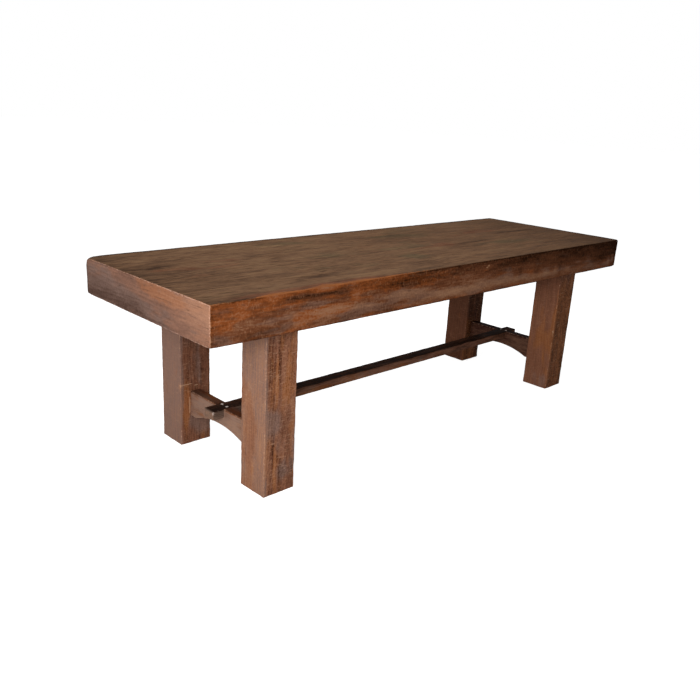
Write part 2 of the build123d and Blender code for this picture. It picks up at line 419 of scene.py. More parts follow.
def rectangle(across: np.ndarray, up: np.ndarray) -> np.ndarray:
    """The outline of a rectangular section, once round through every given place.

    Args:
        across: Places along its level sides.
        up: Places along its upright sides.

    Returns:
        The points, as rows of two numbers.
    """
    return np.concatenate([run(across[:-1], up[0]), run(across[-1], up[:-1]),
                           run(across[:0:-1], up[-1]), run(across[0], up[:0:-1])])


@dataclass(frozen=True)
class Block:
    """The upright box that a timber, or the whole top, is worn down from.

    Its corners may vary from point to point.
    """

    low: np.ndarray
    high: np.ndarray

    def offset(self, points: np.ndarray,
               depth: np.ndarray | float) -> tuple[np.ndarray, np.ndarray, np.ndarray]:
        """Measure from the same box made smaller by depth on every side.

        Args:
            points: Places on or in the box.
            depth: How much smaller the inner box is.

        Returns:
            The nearest places of the inner box, the directions from them, and the distances from them.
        """
        depth = np.broadcast_to(depth, points.shape[:-1])[..., None]
        inner = np.clip(points, self.low + depth, self.high - depth)
        away = points - inner
        distance = np.linalg.norm(away, axis=-1)
        direction = away / np.where(distance > 0, distance, 1)[..., None]
        return inner, direction, distance

    def worn(self, points: np.ndarray, radius: np.ndarray, hollow: np.ndarray) -> np.ndarray:
        """Wear the box: its arrises become round, and its faces a little hollow.

        A place in an arris is drawn in until it is radius from the box made smaller by radius. Then every
        place moves inwards by hollow, which fades to nothing at the depth of the skin.

        Args:
            points: Places on or in the box.
            radius: The radius of the arris there.
            hollow: How far the face lies below the box there.

        Returns:
            The worn places.
        """
        inner, direction, distance = self.offset(points, radius)
        shaped = inner + direction * np.minimum(distance, radius)[..., None]
        _, direction, distance = self.offset(shaped, SKIN_DEPTH)
        fade = np.clip(distance / SKIN_DEPTH, 0, 1)
        return shaped - direction * (hollow * fade)[..., None]

    def arris(self, points: np.ndarray) -> np.ndarray:
        """How near each place is to an arris: 1 on it, and 0 from the reach of the wear onwards."""
        depths = np.minimum(points - self.low, self.high - points)
        return np.clip(1 - np.sort(depths, axis=-1)[..., 1] / WEAR_REACH, 0, 1)


@dataclass(frozen=True)
class Grain:
    """How a timber was cut from its tree: the axis of its fibres, and where the pith was, in millimetres."""

    axis: int
    pith: tuple[float, float]
    lean: tuple[float, float] = (0.02, -0.012)
    start: float = 0.0

    @classmethod
    def drawn(cls, draw: np.random.Generator, axis: int, beside: tuple[float, float],
              below: tuple[float, float], lean: float) -> Grain:
        """Draw at random how a timber was cut.

        Args:
            draw: The source of the random numbers.
            axis: The axis of the fibres.
            beside: The range of the pith's place on the next axis.
            below: The range of the pith's place on the axis after that.
            lean: How far the pith may lean either way.

        Returns:
            The grain.
        """
        pith = draw.uniform(*beside), draw.uniform(*below)
        return cls(axis, pith, tuple(draw.uniform(-lean, lean, 2)), draw.uniform(0, TREE_MM))

    def timber(self, points: np.ndarray, middle: np.ndarray) -> np.ndarray:
        """Turn places on the table into places in the tree, in millimetres.

        The fibres' axis comes first and starts at start. The other two are measured from the pith, which
        leans away from the timber's own line.

        Args:
            points: Places on the table, in metres.
            middle: The middle of the timber.

        Returns:
            The places in the tree.
        """
        local = np.roll(points - middle, -self.axis, axis=-1) / MM
        along = local[..., 0]
        across = local[..., 1] - self.pith[0] + self.lean[0] * along
        up = local[..., 2] - self.pith[1] + self.lean[1] * along
        return np.stack([along + self.start, across, up], -1)


@dataclass(frozen=True)
class StainAndPaintedLight:
    """How the finish of a place differs: darker, rustier, ashier, calmer in its figure, or rubbed paler. Some
    places hold real stain and wear, and others painted shade and painted light.
    """

    deep: float = 0.0
    rust: float = 0.0
    ash: float = 0.0
    calm: float = 0.0
    worn: float = 0.0

    def amounts(self) -> np.ndarray:
        """The five amounts in order."""
        return np.array([self.deep, self.rust, self.ash, self.calm, self.worn])


@dataclass(frozen=True)
class Patch:
    """A place with a stain of its own, real or standing for painted shade and light, which fades out
    smoothly.
    A reach of FAR never ends.
    """

    at: Triple
    reach: Triple
    stain: StainAndPaintedLight

    def amounts(self, points: np.ndarray) -> np.ndarray:
        """The stain at each place: a bell curve of the distance, measured in reaches."""
        nearness = np.exp(-(((points - self.at) / self.reach) ** 2).sum(-1))
        return nearness[..., None] * self.stain.amounts()


def face_marks(axis: int, face: float, reach: float, rows: Iterable[Sequence[float]]) -> list[Patch]:
    """Mark one flat face in many places, with real stain and wear, and with painted shade and light.

    Args:
        axis: The axis that the face lies across.
        face: Where the face is on that axis.
        reach: How far each stain reaches along that axis.
        rows: One row for each place. It has the place on the other two axes, the reach along these, and as
            many of the amounts of stain and painted light as it needs: deep, rust, ash, calm and worn.

    Returns:
        One patch for each row.
    """
    patches = []
    for first, second, first_reach, second_reach, *amounts in rows:
        at, reaches = [first, second], [first_reach, second_reach]
        at.insert(axis, face)
        reaches.insert(axis, reach)
        patches.append(Patch(tuple(at), tuple(reaches), StainAndPaintedLight(*amounts)))
    return patches


@dataclass
class Timber:
    """A visible timber: its sharp rings of points, and all that its mesh and finish need."""

    name: str
    rings: np.ndarray
    block: Block
    grain: Grain
    nodes: tuple[str, ...]
    slot: str
    seed: int
    patches: Sequence[Patch]
    base: StainAndPaintedLight = StainAndPaintedLight()
    radius: float = 3 * MM
    radius_swing: float = 1.2 * MM
    hollow: float = 0.5 * MM
    arris_wear: float = 1.0
    extra_radius: np.ndarray | float = 0.0
    first_rings: np.ndarray | None = None
    last_rings: np.ndarray | None = None

    def shaped(self) -> np.ndarray:
        """Wear the sharp rings, and add the rings that aren't worn at the two ends."""
        ripples = [share * ripple(self.rings, wavelength, self.seed + number)
                   for number, (wavelength, share) in enumerate(RIPPLES)]
        swing = ripples[0] + ripples[1]
        radius = np.clip(self.radius + self.radius_swing * swing, LEAST_RADIUS, None) + self.extra_radius
        hollow = self.hollow * (MEAN_HOLLOW + ripples[2] + ripples[3])
        above_floor = np.clip(self.rings[..., 2] / FOOT_FADE, 0, 1)
        worn = self.block.worn(self.rings, radius, np.clip(hollow, 0, None) * above_floor)
        parts = self.first_rings, worn, self.last_rings
        return np.concatenate([part for part in parts if part is not None])

    def build(self, material: bpy.types.Material) -> None:
        """Make the piece: quads between neighbouring rings, and a fan of triangles to close each end.

        Args:
            material: The finish of the piece.
        """
        rings = self.shaped()
        count, size = rings.shape[:2]
        number = np.arange(count * size).reshape(count, size)
        following = np.roll(number, -1, axis=1)
        quads = np.stack([number[:-1], following[:-1], following[1:], number[1:]], -1).reshape(-1, 4)
        poles = count * size + np.arange(2)
        start = np.stack([following[0], number[0], np.full(size, poles[0])], -1)
        finish = np.stack([number[-1], following[-1], np.full(size, poles[1])], -1)
        points = np.concatenate([rings.reshape(-1, 3), rings[[0, -1]].mean(1)])
        middle = (points.min(0) + points.max(0)) / 2
        corners = points[quads] - middle
        volume = np.einsum("ij,ij->i", np.cross(corners[:, 0], corners[:, 1]), corners[:, 2]).sum()
        turn = 1 if volume > 0 else -1
        faces = [face[::turn] for group in (quads, start, finish) for face in group.tolist()]

        mesh = bpy.data.meshes.new(self.name)
        mesh.from_pydata(points.tolist(), [], faces)
        mesh.polygons.foreach_set("use_smooth", np.ones(len(faces), bool))
        mesh.set_sharp_from_angle(angle=SHARP_ANGLE)
        # These amounts hold real stain and wear, and also painted shade and light where the patches put them.
        stain = np.tile(self.base.amounts(), (len(points), 1))
        for patch in self.patches:
            stain += patch.amounts(points)
        calm, worn = stain[:, 3], stain[:, 4]
        worn[:count * size] += self.arris_wear * self.nearness().ravel()
        layers = {"timber": self.grain.timber(points, middle), "patina": stain[:, :3],
                  "calm": calm, "worn": worn}
        for layer, values in layers.items():
            kind, entry = ("FLOAT_VECTOR", "vector") if values.ndim == 2 else ("FLOAT", "value")
            attribute = mesh.attributes.new(layer, kind, "POINT")
            attribute.data.foreach_set(entry, values.astype(np.float32).ravel())
        mesh.materials.append(material)
        piece = new_object(self.name, mesh)
        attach(piece, "root")
        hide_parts(*self.nodes)
        LOG.info("%s: %d faces, in place of %s", self.name, len(faces), ", ".join(self.nodes))

    def nearness(self) -> np.ndarray:
        """How near each point of each ring is to an arris."""
        parts = [np.zeros(part.shape[:2]) if part is not self.rings else self.block.arris(part)
                 for part in (self.first_rings, self.rings, self.last_rings) if part is not None]
        return np.concatenate(parts)


def node_block(node: str) -> Block:
    """The box of a CAD node."""
    low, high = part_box(node)
    return Block(np.array(low), np.array(high))


def level_rings(along: np.ndarray, section: np.ndarray, axis: int) -> np.ndarray:
    """Carry a section along an axis: every place along it gets the same outline.

    Args:
        along: The places along the axis.
        section: The outline, on the two axes that follow it in turn.
        axis: The axis's number.

    Returns:
        One ring of points for each place.
    """
    rings = np.empty((len(along), len(section), 3))
    rings[..., axis] = along[:, None]
    rings[..., (axis + 1) % 3] = section[:, 0]
    rings[..., (axis + 2) % 3] = section[:, 1]
    return rings


def closed_ends(rings: np.ndarray) -> np.ndarray:
    """Add smaller rings on the two end faces, so that these are worn and stained as the long faces are.

    Each is the end's outline drawn in towards its middle by the same distance on every side: first by the
    steps of an arris, and then by even ones.

    Args:
        rings: The rings of a timber with square ends.

    Returns:
        The same rings, with the smaller ones before and after them.
    """
    ends = rings[[0, -1]]
    half = (ends[0].max(0) - ends[0].min(0)) / 2
    least = half[half > 0].min()
    insets = np.concatenate([ARRIS_STEPS[1:], np.arange(ARRIS_STEPS[-1] + INSET_STEP, least, INSET_STEP)])
    insets = insets[insets < INSET_SHARE * least, None]
    shares = 1 - insets / np.where(half > 0, half, np.inf)
    middles = (ends.max(1, keepdims=True) + ends.min(1, keepdims=True)) / 2
    before, after = middles[:, None] + (ends - middles)[:, None] * shares[:, None]
    return np.concatenate([before[::-1], rings, after])


def bar_rings(block: Block, axis: int, along_step: float, across_step: float) -> np.ndarray:
    """The rings of a plain bar with square ends.

    Args:
        block: The box that the bar fills.
        axis: The axis that it lies along.
        along_step: About how far apart its rings are.
        across_step: About how far apart the points of a ring are.

    Returns:
        The rings, with those of the two end faces.
    """
    across, up = (spread(block.low[n % 3], block.high[n % 3], across_step) for n in (axis + 1, axis + 2))
    stations = spread(block.low[axis], block.high[axis], along_step)
    return closed_ends(level_rings(stations, rectangle(across, up), axis))


# Sub-assemblies

@dataclass
class Top:
    """Five planks with mitred rims, and four skirts folded down round them."""

    plank_count: int = 5
    plank_depth: float = 34 * MM
    # Each seam is a fine chamfer, with one more line of points this far from it.
    seam: float = 0.6 * MM
    seam_line: float = 3 * MM
    # The mitre has points at this depth, half way in, and at its end.
    mitre_line: float = 6 * MM
    under_points: int = 8
    inner_points: int = 10
    along_step: float = 5 * MM
    across_step: float = 7 * MM
    # The upright corners are worn rounder within a reach, and the back left one above all.
    corner_reach: float = 30 * MM
    corner_radius: float = 6 * MM
    back_left_radius: float = 16 * MM
    # Hands have worn a stretch of the front arris: how far, where, and how evenly.
    hand_wear: float = 14 * MM
    hand_at: float = -0.75
    hand_reach: float = 0.38
    hand_mean: float = 0.55
    hand_swing: float = 0.5
    hand_wave: float = 0.1
    hollow: float = 0.9 * MM
    seed: int = 40
    block: Block = field(init=False)

    def __post_init__(self) -> None:
        """Take the outside of the top from its CAD nodes."""
        names = [f"top_plank_{n + 1}" for n in range(self.plank_count)]
        names += [f"skirt_{side}" for side in ("front", "back", "left", "right")]
        parts = [node_block(name) for name in names]
        self.block = Block(np.min([part.low for part in parts], axis=0),
                           np.max([part.high for part in parts], axis=0))

    def seams(self) -> np.ndarray:
        """Where the planks begin and end across the table."""
        return np.linspace(self.block.low[1], self.block.high[1], self.plank_count + 1)

    def plank_lines(self, number: int) -> np.ndarray:
        """The places across one plank at which its face has points."""
        first, last = self.seams()[number:number + 2]
        seam_steps = np.array([self.seam, self.seam_line])
        near = first + (ARRIS_STEPS if number == 0 else seam_steps)
        far = last - (ARRIS_STEPS if number == self.plank_count - 1 else seam_steps)[::-1]
        count = round((far[0] - near[-1]) / self.across_step)
        middle = np.linspace(near[-1], far[0], count + 1)[1:-1]
        return np.concatenate([near, middle, far])

    def extra_radius(self, points: np.ndarray) -> np.ndarray:
        """More wear at the upright corners, and along the first stretch of the front arris."""
        from_low, from_high = points - self.block.low, self.block.high - points
        reach = self.corner_reach
        from_corner = np.minimum(from_low, from_high)[..., :2].max(-1)
        corner = self.corner_radius * np.clip(1 - from_corner / reach, 0, 1)
        upper = np.clip(1 - from_high[..., 2] / reach, 0, 1)
        from_back_left = np.maximum(from_low[..., 0], from_high[..., 1])
        corner += self.back_left_radius * upper * np.clip(1 - from_back_left / (2 * reach), 0, 1)
        front = np.clip(1 - from_low[..., 1] / reach, 0, 1)
        stretch = np.exp(-((points[..., 0] - self.hand_at) / self.hand_reach) ** 2)
        uneven = self.hand_mean + self.hand_swing * ripple(points * (1, 0, 0), self.hand_wave, self.seed + 9)
        return corner + self.hand_wear * upper * front * stretch * np.clip(uneven, 0, 1)

    def timber(self, name: str, rings: np.ndarray, grain: Grain, **details) -> Timber:
        """One timber of the top. All of them share the top's outside, its wear and its unevenness."""
        return Timber(name, rings, self.block, grain, extra_radius=self.extra_radius(rings),
                      hollow=self.hollow, seed=self.seed, **details)

    def plank(self, number: int) -> Timber:
        """One plank.

        Its outline has a fine chamfer at each seam, or on an outer plank a rim that slopes in at 45 degrees.
        At depth d below the face, every place along it is drawn in by the share that brings its end in by d.
        """
        top = self.block.high[2]
        lines = self.plank_lines(number)
        first, last = self.seams()[number:number + 2]
        left_slope, right_slope = float(number == 0), float(number == self.plank_count - 1)
        depths = np.array([self.seam, self.mitre_line, 0.5 * self.plank_depth])
        left_depths, right_depths = (depths[1:] if slope else depths for slope in (left_slope, right_slope))
        under = np.linspace(last - right_slope * self.plank_depth, first + left_slope * self.plank_depth,
                            self.under_points)
        section = np.concatenate([run(lines, top),
                                  run(last - right_slope * right_depths, top - right_depths),
                                  run(under, top - self.plank_depth),
                                  run(first + left_slope * left_depths, top - left_depths)[::-1]])
        half = self.block.high[0]
        rings = level_rings(spread(-half, half, self.along_step), section, 0)
        rings[..., 0] *= (half - (top - rings[..., 2])) / half
        draw = np.random.default_rng(self.seed + 100 + number)
        grain = Grain.drawn(draw, 0, (-90, 90), (-260, -90), 0.02)
        return self.timber(f"plank_{number + 1}", rings, grain, nodes=(f"top_plank_{number + 1}",),
                           slot="top_wood", base=StainAndPaintedLight(rust=-0.1, deep=draw.uniform(-0.03, 0.03)),
                           patches=self.face_patches())

    def face_patches(self) -> list[Patch]:
        """The upper face: dark ends and back arris, which are painted shade along the arrises, orange along
        its worn front, and calm and a little darker at the right, which is painted shade where the light
        falls off.
        """
        (left, front, _), (right, back, top) = self.block.low, self.block.high
        # Painted shade: the dark rows at the left end, at the right end, along the back arris and by the
        # front left corner, and the slight darkening of the right half.
        marks = [
            (left, 0, 0.05, FAR, 0.12), (left, 0.2, 0.02, 0.35, 0, 0, 0, 0, -0.7),
            (left, back, 0.15, 0.12, 0.15), (-1.12, front, 0.08, 0.05, 0.3, 0.2, 0, 0, -0.5),
            (-0.72, front, 0.42, 0.02, 0, 0.3, 0, 0, 0.7),
            (-1, front, 0.06, 0.035, 0, 0.3, 0, 0, 0.9), (-0.78, front, 0.05, 0.05, 0, 0.3, 0, 0, 1.1),
            (-0.62, front, 0.06, 0.03, 0, 0.3, 0, 0, 1), (1.1, 0, 1.2, FAR, 0.06, 0, 0, 0.5),
            (1.25, 0, 0.35, FAR, 0.1), (right, 0, 0.02, FAR, 0.5, 0, 0, 0, -1),
            (0, back, FAR, 0.018, 0.55, 0, 0, 0, -1),
            (-0.5, 0.1, 0.5, 0.3, -0.1), (1.1, front, 0.5, 0.25, 0.15), (0.4, -0.08, 0.16, 0.012, 0.28, 0.1),
            (0.94, 0.03, 0.16, 0.014, 0.28), (-1.02, 0.045, 0.025, 0.02, 0.22, 0.1),
            (-1.12, 0.05, 0.1, 0.14, 0.18, 0.1), (-0.86, 0.08, 0.15, 0.12, 0, 0.16),
            (-0.12, 0.08, 0.1, 0.1, 0, 0.18), (0.7, 0.15, 0.18, 0.12, 0, 0.24),
            (0.27, -0.09, 0.1, 0.07, 0.05, 0.24), (-0.42, 0.3, 0.16, 0.06, -0.05, -0.2, 0.2),
            (-0.1, -0.2, 0.08, 0.06, 0, -0.2, 0.25), (0.68, -0.14, 0.22, 0.06, 0, -0.2, 0.22),
            (0.15, 0.2, 0.2, 0.08, 0.1, -0.1, 0.15), (-0.68, -0.27, 0.09, 0.016, 0.25, 0.2),
            (-0.92, -0.3, 0.08, 0.03, -0.15, 0.05), (-0.72, -0.385, 0.28, 0.03, 0.06, 0.42, -0.2),
        ]
        # Painted shade: a thin dark line along the crisp front arris.
        painted_shade_front_arris = Patch((0.5, front, top), (0.75, 0.006, 0.006), StainAndPaintedLight(deep=0.35, worn=-0.8))
        return [*face_marks(2, top, FAR, marks), painted_shade_front_arris]

    def skirt(self, side: str) -> Timber:
        """One skirt.

        Its outline is the outer face, the mitre that slopes in under the planks' rims, the inner face and the
        underside. At depth d in from the outer face, every place along it is drawn in by the share that
        brings its end in by d, so that the four skirts meet in upright mitres.
        """
        across_axis = 1 if side in ("front", "back") else 0
        along_axis = 1 - across_axis
        sign = -1 if side in ("front", "left") else 1
        low, top = self.block.low[2], self.block.high[2]
        depth = self.plank_depth
        outer = spread(low, top, self.across_step)
        mitre = np.array([self.mitre_line, 0.5 * depth, depth])
        inner = np.linspace(top - depth, low, self.inner_points)[1:]
        under = depth - spread(0.0, depth, self.across_step)[1:-1]
        section = np.concatenate([run(0.0, outer), run(mitre, top - mitre),
                                  run(depth, inner), run(under, low)])
        half_along, half_across = self.block.high[along_axis], self.block.high[across_axis]
        if along_axis == 0:
            stations = spread(-half_along, half_along, self.along_step)
        else:
            stations = merged([self.plank_lines(number) for number in range(self.plank_count)])
        rings = np.empty((len(stations), len(section), 3))
        rings[..., along_axis] = stations[:, None] * (half_along - section[:, 0]) / half_along
        rings[..., across_axis] = sign * (half_across - section[:, 0])
        rings[..., 2] = section[:, 1]
        # Every skirt is cut from another place in the tree.
        grain = Grain(along_axis, (70.0 * sign, -110.0 - 40 * sign), (0.015, 0.012),
                      500.0 * len(side) + 900 * sign)
        patches = {"front": self.front_patches(), "left": self.left_patches()}.get(side, self.far_patches())
        return self.timber(f"skirt_board_{side}", rings, grain, nodes=(f"skirt_{side}",), slot="skirt_wood",
                           base=StainAndPaintedLight(rust=0.05), patches=patches)

    def front_patches(self) -> list[Patch]:
        """The front skirt: orange and dark blobs along the worn arris, paler low down, deep at the right. The
        depth at the right end is partly painted shade where the light falls off, and the thin dark lines
        along the upper and lower arrises are painted shade.
        """
        front, low, top = self.block.low[1], self.block.low[2], self.block.high[2]
        return face_marks(1, front, FAR, [
            (-1.25, 0.69, 0.012, FAR, 0.15, 0.1), (-0.9, 0.73, 0.4, 0.05, 0, 0.14),
            (-1.2, 0.722, 0.055, 0.03, 0.12, 0.05), (-1.16, 0.765, 0.045, 0.01, 0.32),
            (-1.08, 0.757, 0.05, 0.009, 0.22, 0.1), (-1.2, 0.685, 0.04, 0.02, -0.03, 0.2),
            (-1.13, 0.714, 0.018, 0.012, -0.15, 0.5), (-1.12, 0.75, 0.03, 0.008, -0.1, 0.3),
            (-1, 0.752, 0.05, 0.016, -0.15, 0.55), (-0.92, 0.738, 0.11, 0.012, 0.22, -0.25),
            (-1.02, 0.682, 0.1, 0.018, -0.08, -0.1, 0.25), (-1.04, 0.645, 0.08, 0.01, 0.2, -0.3, 0.4),
            (-1.09, 0.632, 0.06, 0.006, 0.15, 0.1), (-0.89, 0.665, 0.04, 0.022, -0.14, 0.45),
            (-0.78, 0.757, 0.05, 0.012, -0.2, 0.6), (-0.77, 0.737, 0.11, 0.01, 0.25, -0.2),
            (-0.65, 0.725, 0.022, 0.026, -0.25, 0.65), (-0.83, 0.706, 0.09, 0.01, 0.05, -0.3, 0.4),
            (-0.76, 0.675, 0.1, 0.02, -0.25, 0.5, -0.1), (-0.67, 0.645, 0.045, 0.012, 0.15, -0.4, 0.55),
            (-0.58, 0.662, 0.05, 0.015, -0.2, -0.3, 0.45), (-0.46, 0.74, 0.16, 0.018, 0.22, 0.3),
            (-0.42, 0.687, 0.05, 0.012, -0.15, -0.4, 0.6), (-0.32, 0.687, 0.08, 0.014, -0.3, -0.2, 0.3),
            (-0.15, 0.657, 0.12, 0.018, -0.4, -0.1, 0.15), (-0.4, 0.653, 0.12, 0.012, 0, 0.05),
            (-0.23, 0.735, 0.11, 0.02, 0.1, 0.25), (0.12, 0.662, 0.2, 0.022, -0.32, -0.1, 0.25),
            (0.55, 0.656, 0.25, 0.02, -0.25, 0.05, 0.2), (1, 0.652, 0.2, 0.016, -0.2, 0, 0.2),
            # Partly painted shade: the deep rows at the right end, where the light falls off.
            (0.3, 0.762, 0.8, 0.05, 0.25, -0.15), (1.15, 0.735, 0.5, 0.07, 0.4, -0.3),
            (1.25, 0.69, 0.05, FAR, 0.2), (0.39, 0.741, 0.02, 0.01, 0.25, 0, 0.1),
            (0.05, 0.64, 0.04, 0.008, -0.15, -0.3, 0.55), (0.27, 0.685, 0.04, 0.016, -0.1, -0.1, 0.35),
            (0.37, 0.68, 0.012, 0.03, 0.18, -0.2), (0.5, 0.675, 0.014, 0.03, 0.15, -0.2),
            (0.58, 0.664, 0.03, 0.012, -0.22, -0.2, 0.3), (0.66, 0.672, 0.01, 0.022, -0.18),
            (0.7, 0.668, 0.01, 0.03, 0.2, -0.2), (0.77, 0.665, 0.025, 0.014, -0.1, 0.35),
            (0.87, 0.682, 0.06, 0.005, -0.3, -0.2, 0.2), (0.96, 0.684, 0.03, 0.012, -0.25, -0.4, 0.2),
            (1.09, 0.68, 0.05, 0.02, 0.15, 0.3), (1.17, 0.66, 0.012, 0.02, -0.25, 0, 0.2),
            (1.21, 0.672, 0.008, 0.024, -0.25, 0, 0.2), (-0.5, 0.66, 0.4, 0.025, -0.1, -0.15, 0.2),
            (-1.2, 0.645, 0.06, 0.02, 0.03, -0.2, 0.25),
            (0.114, 0.734, 0.008, 0.004, 0, 0, 0, 0, 2.1), (0.126, 0.74, 0.007, 0.004, 0, 0, 0, 0, 2.1),
            # Painted shade: the thin dark lines along the upper arris, at top, and the lower arris, at low.
            (0.8, 0.69, 0.6, FAR, 0, -0.08, 0, 0.35), (0.5, top, 0.75, 0.006, 0.3, 0, 0, 0, -0.8),
            (-0.7, top, 0.5, 0.008, 0, 0.3, 0, 0, -0.6), (0, low, FAR, 0.004, 0.35, 0, 0, 0, -1)])

    def left_patches(self) -> list[Patch]:
        """The left skirt: pale near the front corner, which is a painted highlight, and along the top; greyer
        low down at the back, with a dark line along its back arris, which is painted shade.
        """
        left, back, top = self.block.low[0], self.block.high[1], self.block.high[2]
        return face_marks(0, left, FAR, [
            # Painted highlight: the first row lightens the upper front corner. Painted shade: the row at back
            # darkens the back arris.
            (-0.38, 0.72, 0.18, 0.05, -0.3), (0.25, 0.635, 0.4, 0.05, 0.38, 0, 0.3),
            (0.38, 0.7, 0.25, 0.08, 0, 0, 0.2), (back, 0.69, 0.012, FAR, 0.4),
            (-0.14, 0.738, 0.13, 0.022, 0, 0.4), (0.05, 0.66, 0.3, 0.04, 0, -0.15, 0.15),
            (0.24, 0.735, 0.16, 0.03, 0, -0.15, 0.12), (-0.3, top, 0.3, 0.005, 0, 0, 0, 0, 0.15)])

    def far_patches(self) -> list[Patch]:
        """The two skirts that the photograph doesn't show are like the ones that it does."""
        back, right, reach = self.block.high[1], self.block.high[0], 50 * MM
        on_back = [(-0.6, 0.7, 0.4, 0.06, 0, 0.3), (0.4, 0.66, 0.5, 0.04, 0.1, 0, 0.3)]
        on_right = [(-0.1, 0.66, 0.3, 0.05, 0.15, 0.1)]
        return face_marks(1, back, reach, on_back) + face_marks(0, right, reach, on_right)

    def build(self, finishes: Materials) -> None:
        """Build and dress the planks and the skirts."""
        for number in range(self.plank_count):
            self.plank(number).build(finishes["top"])
        for side in ("front", "back"):
            self.skirt(side).build(finishes["long_skirt"])
        for side in ("left", "right"):
            self.skirt(side).build(finishes["end_skirt"])


@dataclass
class Posts:
    """Four square posts."""

    along_step: float = 5 * MM
    across_step: float = 4 * MM
    radius: float = 3.6 * MM
    radius_swing: float = 1.6 * MM
    hollow: float = 0.7 * MM
    arris_wear: float = 0.85
    skin: float = 12 * MM
    seed: int = 60
    # The right-hand posts are darker, partly painted shade where the light from the left falls off.
    base: dict[str, StainAndPaintedLight] = field(default_factory=lambda: {
        "front_left": StainAndPaintedLight(deep=-0.06), "back_left": StainAndPaintedLight(deep=0.08, calm=0.3),
        "front_right": StainAndPaintedLight(deep=0.16, rust=0.06, ash=-0.1, calm=0.2),
        "back_right": StainAndPaintedLight(deep=0.38, ash=-0.15, calm=0.3)})

    def patches(self, place: str, block: Block) -> list[Patch]:
        """The marks of one post. Each post's left face is calmer than its others, and lighter and greyer,
        which is partly painted light and sheen from the lamps on the left.

        The front left post has two thin orange streaks and a greyish place on its front face, and a streak
        low down on its left one. The back left one has a rusty stain beside the stretcher's joint, with pale
        lines of old glue. The right-hand ones are rustier on their front faces and dark at the top, which is
        painted shade under the skirt.
        """
        left, front = block.low[0], block.low[1]
        on_left = {
            "front_left": [(front + 0.02, 0.3, 0.02, FAR, -0.05, 0, 0.3),
                           (front + 0.065, 0.08, 0.008, 0.05, -0.1, 0.8),
                           (0, 0.52, FAR, 0.18, 0.03, -0.1, 0.15)],
            "back_left": [(0, 0, FAR, FAR, 0, -0.2, 0.2), (front + 0.006, 0.25, 0.01, 0.014, -0.2, 1)],
            "front_right": [(0, 0.27, FAR, 0.12, 0, 0.15), (0, 0.58, FAR, 0.12, 0.12, -0.1),
                            (0, 0.5, FAR, 0.1, 0, 0, 0.05), (0, 0.04, FAR, 0.05, -0.05, 0, 0.15),
                            (0, 0.31, FAR, 0.006, 0, 0, 0.2, 0, 0.5), (0, 0, FAR, FAR, 0, 0, -0.14)],
            "back_right": [(0, 0, FAR, FAR, 0, 0, -0.14)]}
        on_front = {
            "front_left": [(left + 0.051, 0.435, 0.005, 0.06, -0.3, 0.9),
                           (left + 0.047, 0.1, 0.005, 0.06, -0.3, 0.9),
                           (left + 0.059, 0.54, 0.006, 0.09, 0.45), (left + 0.036, 0.18, 0.006, 0.05, 0.35),
                           (left + 0.028, 0.45, 0.024, 0.18, 0.18),
                           (left + 0.105, 0.46, 0.035, 0.16, -0.05, 0.15),
                           (left + 0.04, 0.285, 0.045, 0.05, 0, 0, 0.4, 0.4),
                           (left + 0.09, 0.08, 0.04, 0.06, 0.08, 0, 0.3)],
            "back_left": [(left + 0.019, 0.17, 0.018, 0.06, -0.05, 0.9),
                          (left + 0.09, 0.1, 0.06, 0.06, 0, 0, 0.4, 0.4),
                          (left + 0.105, 0.07, 0.01, 0.06, 0, 0.4),
                          (left + 0.07, 0.5, 0.06, 0.2, 0.14, -0.25, 0.25),
                          (left + 0.041, 0.165, 0.004, 0.05, 0, 0.3, 0, 0, 2),
                          (left + 0.03, 0.256, 0.03, 0.003, 0, 0, 0, 0, 2),
                          (left + 0.072, 0.246, 0.012, 0.004, 0, 0, 0, 0, 1.8)],
            "front_right": [(0, 0.3, FAR, 0.22, 0, 0.3, -0.1), (left + 0.03, 0.3, 0.03, 0.05, 0.12),
                            (left + 0.1, 0.05, 0.04, 0.05, 0, 0, 0.2)],
            "back_right": [(left + 0.06, 0.04, 0.06, 0.1, -0.25, 0.5),
                           (left + 0.03, 0.22, 0.03, 0.05, -0.1, 0.6)]}
        # The first row on the left face makes it lighter, greyer and calmer: partly painted light and sheen
        # from the lamps on the left.
        marks = face_marks(0, left, self.skin, [(0, 0, FAR, FAR, -0.15, -0.1, 0.15, 0.42), *on_left[place]])
        marks += face_marks(1, front, self.skin, on_front[place])
        if place == "front_left":
            marks.append(Patch((left, front, 0), (0.007, 0.007, FAR), StainAndPaintedLight(worn=0.08)))
        # Painted shade: the right-hand posts darken towards the top, under the skirt.
        if place.endswith("right"):
            marks.append(Patch((0, 0, block.high[2]), (FAR, FAR, 0.04), StainAndPaintedLight(deep=0.3)))
        return marks

    def build(self, finishes: Materials) -> None:
        """Build and dress the posts."""
        for number, (place, base) in enumerate(self.base.items()):
            node = f"leg_{place}"
            block = node_block(node)
            rings = bar_rings(block, 2, self.along_step, self.across_step)
            grain = Grain.drawn(np.random.default_rng(self.seed + number), 2, (30, 90), (-140, -60), 0.03)
            post = Timber(f"post_{place}", rings, block, grain, (node,), "leg_wood", radius=self.radius,
                          radius_swing=self.radius_swing, hollow=self.hollow, arris_wear=self.arris_wear,
                          seed=self.seed + 10 * number, base=base, patches=self.patches(place, block))
            post.build(finishes["post"])


